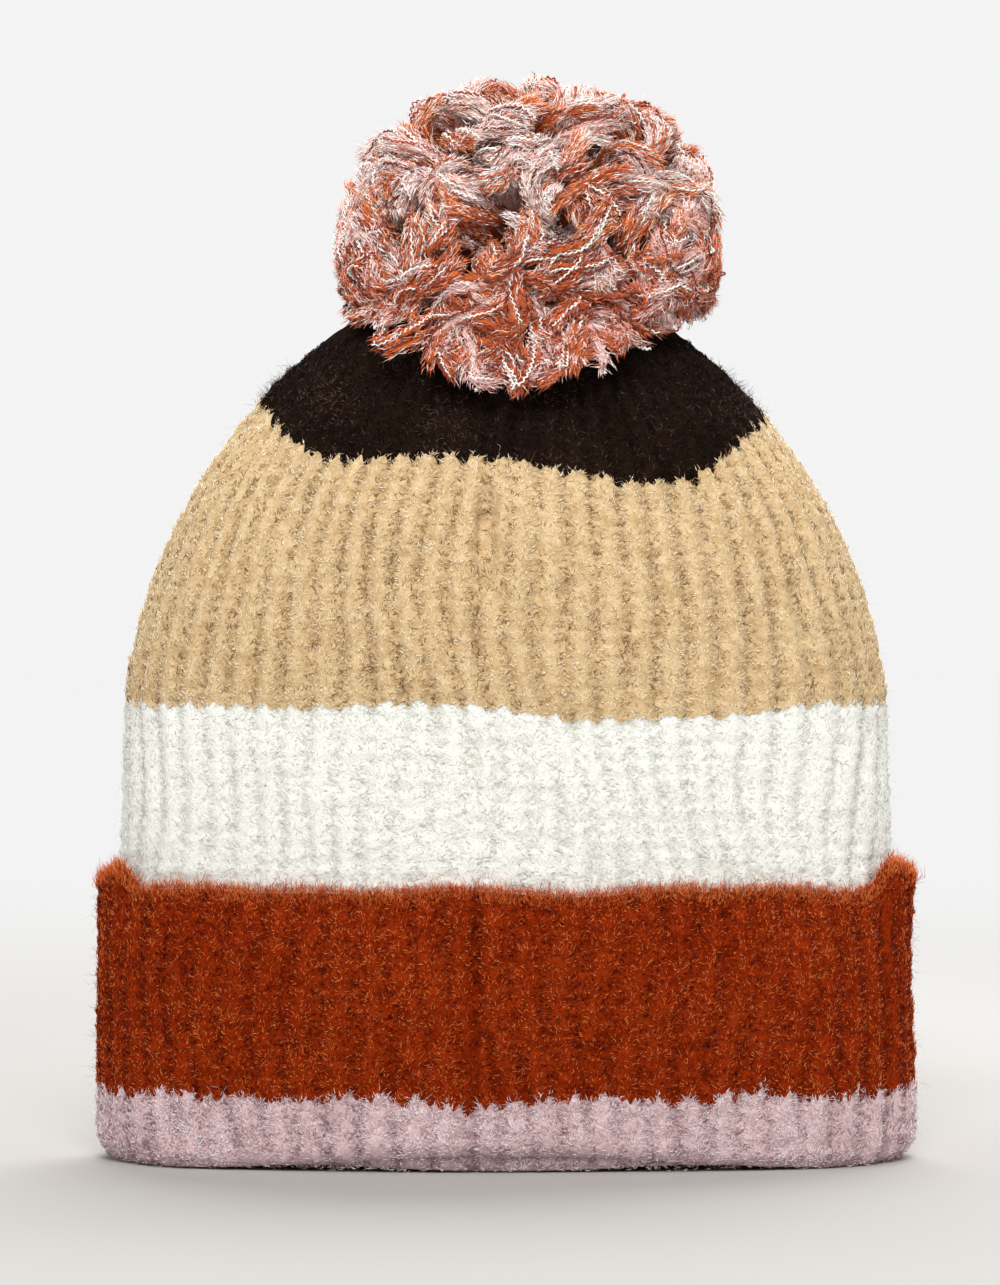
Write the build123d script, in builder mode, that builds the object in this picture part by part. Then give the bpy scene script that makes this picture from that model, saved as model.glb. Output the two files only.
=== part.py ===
"""Pom pom beanie: a striped knitted hat with a turned-up cuff and a pom on a tie.

Millimetres. +Z is up through the crown and the pom, the hat stands on Z = 0, and the
side with the seam faces -Y. Each yarn colour is its own sub-part.
"""

import os
from math import atan2, degrees, hypot, radians, tan

from build123d import *

# Cuff: the turned-up double layer at the bottom
CUFF_HALF_WIDTH = 110.0
CUFF_HALF_DEPTH = 55.0
CUFF_TOP = 79.0
WALL = 4.5
LAYER_GAP = 0.5
FOLD_HEIGHT = 6.0
FOLD_OUTER_FILLET = 4.0
FOLD_INNER_FILLET = 3.0
CUFF_EDGE_FILLET = 1.8

# Body: an oval tube that narrows into the crown
BODY_HALF_WIDTH = CUFF_HALF_WIDTH - WALL - LAYER_GAP
BODY_HALF_DEPTH = CUFF_HALF_DEPTH - WALL - LAYER_GAP
SHOULDER_HALF_WIDTH = 102.5
SHOULDER_HEIGHT = 118.0
DOME_HEIGHT = 122.0
CROWN_TOP = 228.0
END_ROUNDING = 0.72
DOME_SECTIONS = 8

# Stripe boundaries, measured upwards
LILAC_OUTER_TOP = 19.5
LILAC_INNER_TOP = 41.0
WHITE_TOP = 122.0
TAN_TOP = 187.0

# Seam and gathering
SEAM_X = -8.0
SEAM_WIDTH = 2.4
SEAM_DEPTH = 1.2
SEAM_END = 221.0
GATHER_RADIUS = 8.0
GATHER_YARN_RADIUS = 1.2
CROWN_HOLE_RADIUS = 2.4

# Tie through the crown
PIVOT_HEIGHT = 234.0
SHANK_RADIUS = 3.2
SHANK_CLEARANCE = 0.4
TAIL_RADIUS = 0.8
TAIL_SPACING = 1.7
TAIL_BOTTOM = 203.0
WRAP_RADIUS = 3.8
WRAP_HEIGHT = 1.2
INSIDE_KNOT_RADIUS = 5.0
LOOP_RADIUS = 1.6

# Pom: a ball a little to the right of the tie
POM_X = 6.5
POM_Z = 245.0
POM_RADIUS = 50.0
POM_HALF_HEIGHT = 44.5
POM_LEAN = 15.0
BINDING_RADIUS = 9.0
BINDING_HEIGHT = 8.0
TUFT_RADIUS = 50.0
REST_GAP = 0.4

# Wedges of the pom, anticlockwise: how much of the turn each yarn takes at a time
LILAC_ARC = 54.0
RUST_ARC = 42.0
WHITE_ARC = 21.5
BROWN_ARC = 14.5


def oval(half_width, half_depth, end_radius):
    """A flat-fronted oval face from four arcs."""
    side = half_width - end_radius
    rise = half_depth - end_radius
    face_radius = (side**2 + half_depth**2 - end_radius**2) / (2 * rise)
    reach = face_radius - end_radius
    turn_x = side / reach
    turn_y = (reach**2 - side**2) ** 0.5 / reach
    meet_x = side + end_radius * turn_x
    meet_y = end_radius * turn_y
    with BuildSketch() as face:
        with BuildLine():
            ThreePointArc((-meet_x, meet_y), (0, half_depth), (meet_x, meet_y))
            ThreePointArc((meet_x, meet_y), (half_width, 0), (meet_x, -meet_y))
            ThreePointArc((meet_x, -meet_y), (0, -half_depth), (-meet_x, -meet_y))
            ThreePointArc((-meet_x, -meet_y), (-half_width, 0), (-meet_x, meet_y))
        make_face()
    return face.sketch


def body_size(height):
    """The tube's outer half width and half depth at a height."""
    if height <= SHOULDER_HEIGHT:
        share = (height - LILAC_INNER_TOP) / (SHOULDER_HEIGHT - LILAC_INNER_TOP)
        width = BODY_HALF_WIDTH + (SHOULDER_HALF_WIDTH - BODY_HALF_WIDTH) * share
        return width, BODY_HALF_DEPTH
    share = (height - SHOULDER_HEIGHT) / DOME_HEIGHT
    width = SHOULDER_HALF_WIDTH * (1 - share**1.8) ** (1 / 1.7)
    depth = BODY_HALF_DEPTH * (1 - share**3) ** 0.5
    return width, depth


def body_form(inset, top):
    """The tube and dome as one filled shape, inset from the outer face."""
    step = (top - SHOULDER_HEIGHT) / DOME_SECTIONS
    tube = [LILAC_INNER_TOP, SHOULDER_HEIGHT]
    dome = [SHOULDER_HEIGHT + step * i for i in range(DOME_SECTIONS + 1)]
    with BuildPart() as form:
        for heights in (tube, dome):
            for height in heights:
                width, depth = body_size(height)
                with BuildSketch(Plane.XY.offset(height)):
                    add(oval(width - inset, depth - inset, END_ROUNDING * depth - inset))
            loft()
    return form.part


def seam_strip(form, inner_form, bottom, top):
    """The outer skin of a form where the seam runs."""
    with BuildPart() as strip:
        add(form)
        add(inner_form, mode=Mode.SUBTRACT)
        with Locations((SEAM_X, -CUFF_HALF_DEPTH, bottom)):
            Box(
                SEAM_WIDTH,
                2 * BODY_HALF_DEPTH,
                top - bottom,
                align=(Align.CENTER, Align.CENTER, Align.MIN),
                mode=Mode.INTERSECT,
            )
    return strip.part


def cuff_oval(inset):
    """The cuff's outline, inset from its outer face."""
    end_radius = END_ROUNDING * BODY_HALF_DEPTH + WALL + LAYER_GAP
    return oval(CUFF_HALF_WIDTH - inset, CUFF_HALF_DEPTH - inset, end_radius - inset)


def cuff_ring(outer_inset, inner_inset, bottom, top):
    """An oval ring of the cuff between two insets from its outer face."""
    with BuildPart() as ring:
        with BuildSketch(Plane.XY.offset(bottom)):
            add(cuff_oval(outer_inset))
            add(cuff_oval(inner_inset), mode=Mode.SUBTRACT)
        extrude(amount=top - bottom)
    return ring.part


def cuff_seam():
    """The seam strip in the cuff's outer face."""
    with BuildPart() as strip:
        add(cuff_ring(0, SEAM_DEPTH, FOLD_HEIGHT, CUFF_TOP - CUFF_EDGE_FILLET))
        with Locations((SEAM_X, -CUFF_HALF_DEPTH, 0)):
            Box(
                SEAM_WIDTH,
                CUFF_HALF_DEPTH,
                CUFF_TOP,
                align=(Align.CENTER, Align.CENTER, Align.MIN),
                mode=Mode.INTERSECT,
            )
    return strip.part


def rust_cuff(seam):
    """The rust band on the cuff, with a soft top edge."""
    with BuildPart() as rust_cuff_stripe:
        add(cuff_ring(0, WALL, LILAC_OUTER_TOP, CUFF_TOP))
        top_face = rust_cuff_stripe.faces().sort_by(Axis.Z)[-1]
        fillet(top_face.edges(), CUFF_EDGE_FILLET)
        add(seam, mode=Mode.SUBTRACT)
    return rust_cuff_stripe.part


def lilac_fold(seam):
    """The lilac band: outer layer, fold and the start of the inner layer."""
    inner_face = 2 * WALL + LAYER_GAP
    with BuildPart() as lilac_fold_stripe:
        add(cuff_ring(0, WALL, FOLD_HEIGHT, LILAC_OUTER_TOP))
        add(cuff_ring(WALL + LAYER_GAP, inner_face, FOLD_HEIGHT, LILAC_INNER_TOP))
        add(cuff_ring(0, inner_face, 0, FOLD_HEIGHT))
        rim = lilac_fold_stripe.faces().sort_by(Axis.Z)[0]
        fillet(rim.outer_wire().edges(), FOLD_OUTER_FILLET)
        rim = lilac_fold_stripe.faces().sort_by(Axis.Z)[0]
        fillet(rim.inner_wires()[0].edges(), FOLD_INNER_FILLET)
        add(seam, mode=Mode.SUBTRACT)
    return lilac_fold_stripe.part


def body_stripe(shell, bottom, top):
    """The slice of the body's shell between two heights."""
    with BuildPart() as stripe:
        add(shell)
        split(bisect_by=Plane.XY.offset(bottom), keep=Keep.TOP)
        split(bisect_by=Plane.XY.offset(top), keep=Keep.BOTTOM)
    return stripe.part


def body_shell(outer, seam):
    """The body's wall, open at the bottom, with the tie's hole and the seam's groove."""
    with BuildPart() as shell:
        add(outer)
        add(body_form(WALL, CROWN_TOP - WALL), mode=Mode.SUBTRACT)
        add(seam, mode=Mode.SUBTRACT)
        with Locations((0, 0, CROWN_TOP)):
            Hole(CROWN_HOLE_RADIUS, 2 * WALL)
    return shell.part


def gather_yarn():
    """The ring of yarn under the crown that draws it shut."""
    height = CROWN_TOP - WALL - GATHER_YARN_RADIUS
    with BuildPart() as crown_gather_yarn:
        with Locations((0, 0, height)):
            Torus(GATHER_RADIUS, GATHER_YARN_RADIUS)
    return crown_gather_yarn.part


def tail(side):
    """One end of the tie, from under the shank knot to inside the crown."""
    top = PIVOT_HEIGHT - SHANK_RADIUS - SHANK_CLEARANCE
    with BuildPart() as tie_tail:
        with BuildSketch(Plane.XY.offset(TAIL_BOTTOM)):
            with Locations((side * TAIL_SPACING / 2, 0)):
                Circle(TAIL_RADIUS)
        extrude(amount=top - TAIL_BOTTOM)
        fillet(tie_tail.edges().filter_by(GeomType.CIRCLE), TAIL_RADIUS * 0.6)
    return tie_tail.part


def wrap():
    """A few turns of yarn round the tails on top of the crown."""
    inner = TAIL_SPACING / 2 + TAIL_RADIUS
    with BuildPart() as tie_wrap:
        with BuildSketch(Plane.XY.offset(CROWN_TOP + REST_GAP)):
            Circle(WRAP_RADIUS)
            Circle(inner, mode=Mode.SUBTRACT)
        extrude(amount=WRAP_HEIGHT)
    return tie_wrap.part


def knot_inside():
    """The knot that stops the tails under the crown."""
    height = CROWN_TOP - WALL - REST_GAP - INSIDE_KNOT_RADIUS
    with BuildPart() as inside_knot:
        with Locations((0, 0, height)):
            Sphere(INSIDE_KNOT_RADIUS)
            Hole(TAIL_SPACING / 2 + TAIL_RADIUS, 2 * INSIDE_KNOT_RADIUS)
    return inside_knot.part


def lower_tufts():
    """The tufts that lie on the crown, as a ring that can turn above it."""
    floor = CROWN_TOP + REST_GAP
    ceiling = PIVOT_HEIGHT - 0.6
    flat = body_size(CROWN_TOP)[0]
    rim_height = 219.4
    with BuildPart() as lower_pom_tufts:
        with BuildSketch(Plane.XZ):
            with BuildLine():
                Polyline(
                    (WRAP_RADIUS, floor),
                    (flat + REST_GAP, floor),
                    (TUFT_RADIUS, rim_height),
                    (TUFT_RADIUS, rim_height + 7),
                    (TUFT_RADIUS - 6, ceiling),
                    (WRAP_RADIUS, ceiling),
                    close=True,
                )
            make_face()
        revolve(axis=Axis.Z)
    return lower_pom_tufts.part


def shank():
    """The round knot that the pom rolls on."""
    with BuildPart() as shank_knot:
        with Locations((0, 0, PIVOT_HEIGHT)):
            Sphere(SHANK_RADIUS)
    return shank_knot.part


def binding():
    """The yarn wound round the middle of the pom's strands."""
    with BuildPart() as pom_binding:
        with Locations((POM_X, 0, POM_Z)):
            Cylinder(BINDING_RADIUS, BINDING_HEIGHT)
        fillet(pom_binding.edges().filter_by(GeomType.CIRCLE), BINDING_HEIGHT * 0.3)
    return pom_binding.part


def hanging_loop(centre_piece):
    """The cord from the shank knot up to the binding."""
    lean = degrees(atan2(POM_X, POM_Z - PIVOT_HEIGHT))
    start = SHANK_RADIUS + SHANK_CLEARANCE
    reach = hypot(POM_X, POM_Z - PIVOT_HEIGHT)
    pivot = Plane.XY.offset(PIVOT_HEIGHT).rotated((0, lean, 0))
    with BuildPart() as pom_hanging_loop:
        with BuildSketch(pivot.offset(start)):
            Circle(LOOP_RADIUS)
        extrude(amount=reach - start)
        add(centre_piece, mode=Mode.SUBTRACT)
    return pom_hanging_loop.part


def pom_ball(core):
    """The whole pom, cut away below so that it can lean without meeting the crown."""
    wide = 2 * POM_RADIUS
    rise = wide * tan(radians(POM_LEAN))
    with BuildPart() as ball:
        with BuildSketch(Plane.XZ.shift_origin((POM_X, 0, POM_Z))):
            Ellipse(POM_RADIUS, POM_HALF_HEIGHT)
            Rectangle(wide, wide, align=(Align.MAX, Align.CENTER), mode=Mode.SUBTRACT)
        revolve(axis=Axis((POM_X, 0, 0), (0, 0, 1)))
        with BuildSketch(Plane.XZ):
            with BuildLine():
                Polyline(
                    (0, PIVOT_HEIGHT),
                    (wide, PIVOT_HEIGHT + rise),
                    (wide, 0),
                    (0, 0),
                    close=True,
                )
            make_face()
        revolve(axis=Axis.Z, mode=Mode.SUBTRACT)
        with Locations((0, 0, PIVOT_HEIGHT)):
            Sphere(SHANK_RADIUS + SHANK_CLEARANCE, mode=Mode.SUBTRACT)
        for piece in core:
            add(piece, mode=Mode.SUBTRACT)
    return ball.part


def pom_yarn(ball, wedges):
    """The wedges of the ball that one yarn takes: pairs of start angle and arc."""
    reach = 2 * POM_RADIUS
    with BuildPart() as yarn:
        for start, arc in wedges:
            with BuildSketch(Plane.XZ.rotated((0, 0, start), ordering=Extrinsic.XYZ)):
                with Locations((0, POM_Z)):
                    Rectangle(reach, 2 * reach, align=(Align.MIN, Align.CENTER))
            revolve(axis=Axis.Z, revolution_arc=arc)
    with BuildPart() as colour:
        add(ball)
        add(yarn.part.moved(Location((POM_X, 0, 0))), mode=Mode.INTERSECT)
    return colour.part


def wedge_plan():
    """Where each yarn's wedges start, going once round the pom."""
    order = ["lilac", "rust", "white", "lilac", "brown", "rust", "lilac", "white", "rust", "brown"]
    arcs = {"lilac": LILAC_ARC, "rust": RUST_ARC, "white": WHITE_ARC, "brown": BROWN_ARC}
    plan = {name: [] for name in arcs}
    start = 0.0
    for name in order:
        plan[name].append((start, arcs[name]))
        start += arcs[name]
    return plan


def save(part, name):
    """Names a sub-part and writes it."""
    part.label = name
    export_step(part, f"parts/{name}.step")


os.makedirs("parts", exist_ok=True)

# Cuff
seam = cuff_seam()
save(seam, "cuff_seam_yarn")
save(rust_cuff(seam), "rust_cuff_stripe")
save(lilac_fold(seam), "lilac_fold_stripe")

# Body and crown
outer = body_form(0, CROWN_TOP)
seam = seam_strip(outer, body_form(SEAM_DEPTH, CROWN_TOP - SEAM_DEPTH), CUFF_TOP, SEAM_END)
shell = body_shell(outer, seam)
save(seam, "body_seam_yarn")
save(body_stripe(shell, LILAC_INNER_TOP, WHITE_TOP), "white_stripe")
save(body_stripe(shell, WHITE_TOP, TAN_TOP), "tan_stripe")
save(body_stripe(shell, TAN_TOP, CROWN_TOP + 1), "brown_crown")
save(gather_yarn(), "crown_gather_yarn")

# Tie
save(tail(-1), "tie_tail_left")
save(tail(1), "tie_tail_right")
save(wrap(), "tie_wrap")
save(knot_inside(), "inside_knot")
save(lower_tufts(), "lower_pom_tufts")
save(shank(), "shank_knot")

# Pom
centre = binding()
loop = hanging_loop(centre)
ball = pom_ball([centre, loop])
save(centre, "pom_binding")
save(loop, "pom_hanging_loop")
for yarn_name, wedges in wedge_plan().items():
    save(pom_yarn(ball, wedges), f"pom_{yarn_name}_yarn")
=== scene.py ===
"""Looks of the pom pom beanie: brushed rib knitting in five colours, and a pom of four yarns.

Lengths are written in millimetres and become metres when a mesh is made. The hat faces -Y.
A share says how far round the hat a place is: 0 is the middle of the back, 0.25 the right end
and 0.5 the middle of the front. A level is a height above the table.
"""

import math

import bpy
import numpy as np
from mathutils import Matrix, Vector


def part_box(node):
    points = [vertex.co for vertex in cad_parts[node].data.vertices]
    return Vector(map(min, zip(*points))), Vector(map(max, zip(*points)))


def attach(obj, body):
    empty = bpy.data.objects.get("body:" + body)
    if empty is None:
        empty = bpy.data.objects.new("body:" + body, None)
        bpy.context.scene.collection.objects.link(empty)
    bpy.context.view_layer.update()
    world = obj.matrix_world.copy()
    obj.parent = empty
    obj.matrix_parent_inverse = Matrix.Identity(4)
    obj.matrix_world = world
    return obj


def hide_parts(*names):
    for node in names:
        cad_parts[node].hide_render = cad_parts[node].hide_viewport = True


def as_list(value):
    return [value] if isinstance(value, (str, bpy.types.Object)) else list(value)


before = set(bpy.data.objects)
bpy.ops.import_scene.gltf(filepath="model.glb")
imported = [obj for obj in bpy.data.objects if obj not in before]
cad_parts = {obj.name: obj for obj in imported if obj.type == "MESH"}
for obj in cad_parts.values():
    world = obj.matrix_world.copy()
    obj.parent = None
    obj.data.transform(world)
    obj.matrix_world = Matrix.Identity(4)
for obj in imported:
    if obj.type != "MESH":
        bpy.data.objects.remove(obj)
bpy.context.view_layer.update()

MM = 0.001


def node_box(name):
    """A CAD node's lowest and highest corners, in millimetres."""
    low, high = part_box(name)
    return np.array(low) / MM, np.array(high) / MM


# Sizes read from the frame
CUFF_WIDTH, CUFF_DEPTH, CUFF_TOP = node_box("rust_cuff_stripe")[1]
WHITE_LOW, WHITE_HIGH = node_box("white_stripe")
BODY_WIDTH, BODY_DEPTH = WHITE_HIGH[:2]
INNER_TOP = WHITE_LOW[2]
SHOULDER_WIDTH = node_box("tan_stripe")[1][0]
CROWN_TOP = node_box("brown_crown")[1][2]
SHANK_LOW, SHANK_HIGH = node_box("shank_knot")
PIVOT = (SHANK_LOW + SHANK_HIGH) / 2
BINDING_LOW, BINDING_HIGH = node_box("pom_binding")
POM_CENTRE = (BINDING_LOW + BINDING_HIGH) / 2

# The outlines of the body and the cuff, as in the CAD
SHOULDER_HEIGHT = 118.0
DOME_HEIGHT = 122.0
END_ROUNDING = 0.72
CUFF_END_RADIUS = 41.0
WALL = 4.5
FOLD_SPAN = 2 * WALL + 0.5
ARCH_HEIGHT = 4.5
RIM_RADIUS = 2.0
GATHER_RADIUS = 2.4

# Where the stripes meet, before the ribs and the front's own waves move the edges
RUST_EDGE = 18.9
TAN_EDGE = 122.0
CROWN_EDGE = 187.0

# Knitting
RIBS = 62
COLUMNS = RIBS * 12
ROW_STEP = 1.0
SHARES = (np.arange(COLUMNS) / COLUMNS)[None, :]
STITCH_HEIGHT = 3.9
BODY_RELIEF = 1.7
CROWN_RELIEF = 1.5
CUFF_RELIEF = 1.0
GIRTH = 520.0
SEAM_SHARE = 0.5 + 8.0 / GIRTH
CREASE_X, CREASE_Z = -4.3, 166.0

# Loose fibre
FIBRE_SHARE = 1.0
PIECE_FIBRES = 33000


def lin(red, green, blue):
    """A colour given as 8-bit sRGB, as linear values with alpha."""
    out = []
    for c in (red, green, blue):
        c /= 255
        out.append(c / 12.92 if c <= 0.04045 else ((c + 0.055) / 1.055) ** 2.4)
    return (*out, 1.0)


def unit(v):
    """Vectors scaled to a length of 1."""
    return v / (np.linalg.norm(v, axis=-1, keepdims=True) + 1e-12)


def smooth(x, low, high):
    """0 below low, 1 above high, and smooth between."""
    t = np.clip((np.asarray(x, float) - low) / (high - low), 0, 1)
    return t * t * (3 - 2 * t)


def bell(x, middle, width, power=2):
    """1 at the middle, falling to 0 on both sides."""
    return np.exp(-(((x - middle) / width) ** power))


def crest(phase):
    """1 at whole numbers and 0 half way between them."""
    return 0.5 + 0.5 * np.cos(2 * np.pi * phase)


class Wobble:
    """Smooth noise: a sum of sine waves with seeded directions, roughly from -1 to 1."""

    def __init__(self, seed, dims, size):
        waves = 14
        rng = np.random.default_rng(seed)
        k = rng.normal(size=(waves, dims))
        k /= np.linalg.norm(k, axis=1)[:, None]
        self.k = k * (2 * np.pi / size) * rng.uniform(0.6, 1.6, (waves, 1))
        self.phase = rng.uniform(0, 2 * np.pi, waves)
        self.scale = 1.6 / math.sqrt(waves)

    def __call__(self, *coords):
        p = np.stack(np.broadcast_arrays(*coords), axis=-1).astype(float)
        return np.sin(p @ self.k.T + self.phase).sum(-1) * self.scale


rib_wander = Wobble(3, 2, 90.0)
rib_depth = Wobble(4, 2, 34.0)
stitch_noise = Wobble(5, 2, 9.0)
edge_wave = Wobble(6, 1, 60.0)
jagged_noise = Wobble(7, 2, 2.4)
tone_noise = Wobble(8, 3, 26.0)


# ---- outlines


def body_size(height):
    """The body's outer half width and half depth at heights, as in the CAD."""
    h = np.asarray(height, float)
    low = np.clip((h - INNER_TOP) / (SHOULDER_HEIGHT - INNER_TOP), 0, 1)
    rise = np.clip((h - SHOULDER_HEIGHT) / DOME_HEIGHT, 0, 0.985)
    width = BODY_WIDTH + (SHOULDER_WIDTH - BODY_WIDTH) * low
    width = np.where(rise > 0, SHOULDER_WIDTH * (1 - rise**1.8) ** (1 / 1.7), width)
    depth = BODY_DEPTH * (1 - rise**3) ** 0.5
    return width, depth


def arcs(a, b, r):
    """The oval's end arc centre, its face arc's radius and how far the face arc turns."""
    side = a - r
    big = (side**2 + b**2 - r**2) / (2 * (b - r))
    return side, big, np.arcsin(np.clip(side / (big - r), -1, 1))


def oval(share, half_width, half_depth, end_radius):
    """Points and outward normals of the flat-fronted oval, at shares of the way round."""
    share = np.asarray(share, float) % 1.0
    share, a, b, r = np.broadcast_arrays(share, half_width, half_depth, end_radius)
    side, big, turn = arcs(a, b, r)
    face = big * turn
    quarter = face + r * (np.pi / 2 - turn)
    fold = np.where(share < 0.5, share, 1 - share) * 4
    x_sign = np.where(share < 0.5, 1.0, -1.0)
    y_sign = np.where(fold < 1, 1.0, -1.0)
    run = np.where(fold < 1, fold, 2 - fold) * quarter
    on_face = run <= face
    angle = np.where(on_face, run / big, turn + (run - face) / r)
    x = np.where(on_face, big * np.sin(angle), side + r * np.sin(angle))
    y = np.where(on_face, big * np.cos(angle) - (big - b), r * np.cos(angle))
    return x * x_sign, y * y_sign, np.sin(angle) * x_sign, np.cos(angle) * y_sign


def tilted(nx, ny, height):
    """The body's normals, tilted as it narrows with height, and the cosines of the tilt."""
    height = np.asarray(height)
    above, below = body_size(height + 0.5), body_size(height - 0.5)
    slope = -((above[0] - below[0]) * np.abs(nx) + (above[1] - below[1]) * np.abs(ny))
    scale = 1 / np.sqrt(1 + slope**2)
    return np.stack([nx * scale, ny * scale, slope * scale], -1), scale


def body_point(share, height):
    """Point and outward normal on the body's outline at a height."""
    width, depth = body_size(height)
    x, y, nx, ny = oval(share, width, depth, END_ROUNDING * depth)
    return np.stack([x, y, np.broadcast_to(height, x.shape)], -1), tilted(nx, ny, height)[0]


def body_x(share, height):
    """How far to the right the body's outline lies at a height."""
    return body_point(share, np.full_like(share, height))[0][..., 0]


def cuff_point(share, height, inset=0.0):
    """Point and normal on the cuff's upright outer layer."""
    share, z = np.broadcast_arrays(share, np.asarray(height, float))
    x, y, nx, ny = oval(share, CUFF_WIDTH - inset, CUFF_DEPTH - inset, CUFF_END_RADIUS - inset)
    return np.stack([x, y, z], -1), np.stack([nx, ny, np.zeros_like(nx)], -1)


def cuff_x(share):
    """How far to the right the cuff's outline lies."""
    return oval(share, CUFF_WIDTH, CUFF_DEPTH, CUFF_END_RADIUS)[0]


# ---- mesh making


def link(ob):
    """Puts an object into the scene."""
    bpy.context.scene.collection.objects.link(ob)
    return ob


def mesh_object(name, points, faces, materials, face_slots=None):
    """A smooth object from points in millimetres and a list of face arrays of one size each."""
    me = bpy.data.meshes.new(name)
    me.vertices.add(len(points))
    me.vertices.foreach_set("co", (np.asarray(points) * MM).ravel())
    loops = np.concatenate([f.ravel() for f in faces]).astype(np.int32)
    sizes = np.concatenate([np.full(len(f), f.shape[1]) for f in faces])
    starts = np.concatenate([[0], np.cumsum(sizes)[:-1]]).astype(np.int32)
    me.loops.add(len(loops))
    me.loops.foreach_set("vertex_index", loops)
    me.polygons.add(len(sizes))
    me.polygons.foreach_set("loop_start", starts)
    for m in materials:
        me.materials.append(m)
    if face_slots is not None:
        me.polygons.foreach_set("material_index", np.asarray(face_slots, np.int32))
    me.update(calc_edges=True)
    me.polygons.foreach_set("use_smooth", np.full(len(sizes), True))
    me.validate()
    return link(bpy.data.objects.new(name, me))


def in_parts(name, count, most):
    """The name and the own members of each piece that a large number is divided into."""
    parts = math.ceil(count / most)
    for k in range(parts):
        yield f"{name}_{k + 1}" if parts > 1 else name, slice(k, None, parts)


def frames(paths):
    """Directions along many paths, and two unit directions across them that don't twist."""
    tangent = unit(np.gradient(paths, axis=1))
    normal = np.cross(tangent[:, 0], [0.37, 0.61, 0.70])
    normals = np.empty_like(paths)
    for j in range(paths.shape[1]):
        normal = unit(normal - (normal * tangent[:, j]).sum(1, keepdims=True) * tangent[:, j])
        normals[:, j] = normal
    return tangent, normals, np.cross(tangent, normals)


def tubes(paths, radii, sides):
    """Closed round tubes along many paths: points, faces, and how many sides each tube has."""
    paths = np.asarray(paths, float)
    n, m, _ = paths.shape
    _, normals, binormals = frames(paths)
    angle = (np.arange(sides) * 2 * np.pi / sides)[None, None, :, None]
    ring = np.cos(angle) * normals[:, :, None] + np.sin(angle) * binormals[:, :, None]
    points = paths[:, :, None] + ring * np.broadcast_to(radii, (n, m))[:, :, None, None]
    start = (np.arange(n) * m * sides)[:, None]
    row = start[:, :, None] + (np.arange(m - 1) * sides)[None, :, None]
    k = np.arange(sides)
    k2 = (k + 1) % sides
    quads = np.stack([row + k, row + k2, row + sides + k2, row + sides + k], axis=-1)
    caps = [start + k[::-1], start + (m - 1) * sides + k]
    return points.reshape(-1, 3), [quads.reshape(-1, 4), *caps], (m - 1) * sides


def spindles(roots, tips, radius, bend):
    """Fine fibres as closed three-sided spindles, bent at the middle."""
    along = unit(tips - roots)
    side = unit(np.cross(along, [0.41, 0.33, 0.85]))
    up = np.cross(along, side)
    middle = roots + (tips - roots) * 0.45 + bend
    thirds = (0, 2 * math.pi / 3, 4 * math.pi / 3)
    ring = [middle + radius[:, None] * (math.cos(a) * side + math.sin(a) * up) for a in thirds]
    points = np.stack([roots, *ring, tips], axis=1).reshape(-1, 3)
    pattern = np.array([[0, 2, 1], [0, 3, 2], [0, 1, 3], [4, 1, 2], [4, 2, 3], [4, 3, 1]])
    faces = (np.arange(len(roots)) * 5)[:, None, None] + pattern
    return points, [faces.reshape(-1, 3)], len(pattern)


# ---- materials


def node(tree, kind, **values):
    """A shader node with the given input values and settings."""
    return set_values(tree.nodes.new(kind), **values)


def set_values(made, **values):
    """Sets a node's inputs, which begin with a capital letter, and its settings."""
    for key, value in values.items():
        key = key.replace("_", " ") if key[0].isupper() else key
        if key in made.inputs:
            made.inputs[key].default_value = value
        else:
            setattr(made, key, value)
    return made


def new_material(name):
    """A Principled material, its tree, its shader and the places on the object."""
    mat = bpy.data.materials.new(name)
    mat.use_nodes = True
    tree = mat.node_tree
    where = tree.nodes.new("ShaderNodeTexCoord").outputs["Object"]
    return mat, tree, tree.nodes["Principled BSDF"], where


def noise(tree, where, **values):
    """Noise at places on the object."""
    made = node(tree, "ShaderNodeTexNoise", **values)
    tree.links.new(where, made.inputs["Vector"])
    return made.outputs["Fac"]


def remap(tree, value, **limits):
    """A value carried over from one range to another."""
    made = node(tree, "ShaderNodeMapRange", **limits)
    tree.links.new(value, made.inputs["Value"])
    return made.outputs["Result"]


def plug(tree, made, *values):
    """Links or sets a node's numbered inputs."""
    for i, value in values:
        if isinstance(value, bpy.types.NodeSocket):
            tree.links.new(value, made.inputs[i])
        else:
            made.inputs[i].default_value = value
    return made.outputs


def mix_colour(tree, factor, first, second):
    """A colour mix of two sockets or colours by a factor socket."""
    mixer = node(tree, "ShaderNodeMix", data_type="RGBA")
    return plug(tree, mixer, (0, factor), (6, first), (7, second))[2]


def maths(tree, operation, first, second):
    """A number made from two sockets or numbers."""
    return plug(tree, node(tree, "ShaderNodeMath", operation=operation), (0, first), (1, second))[0]


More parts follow.
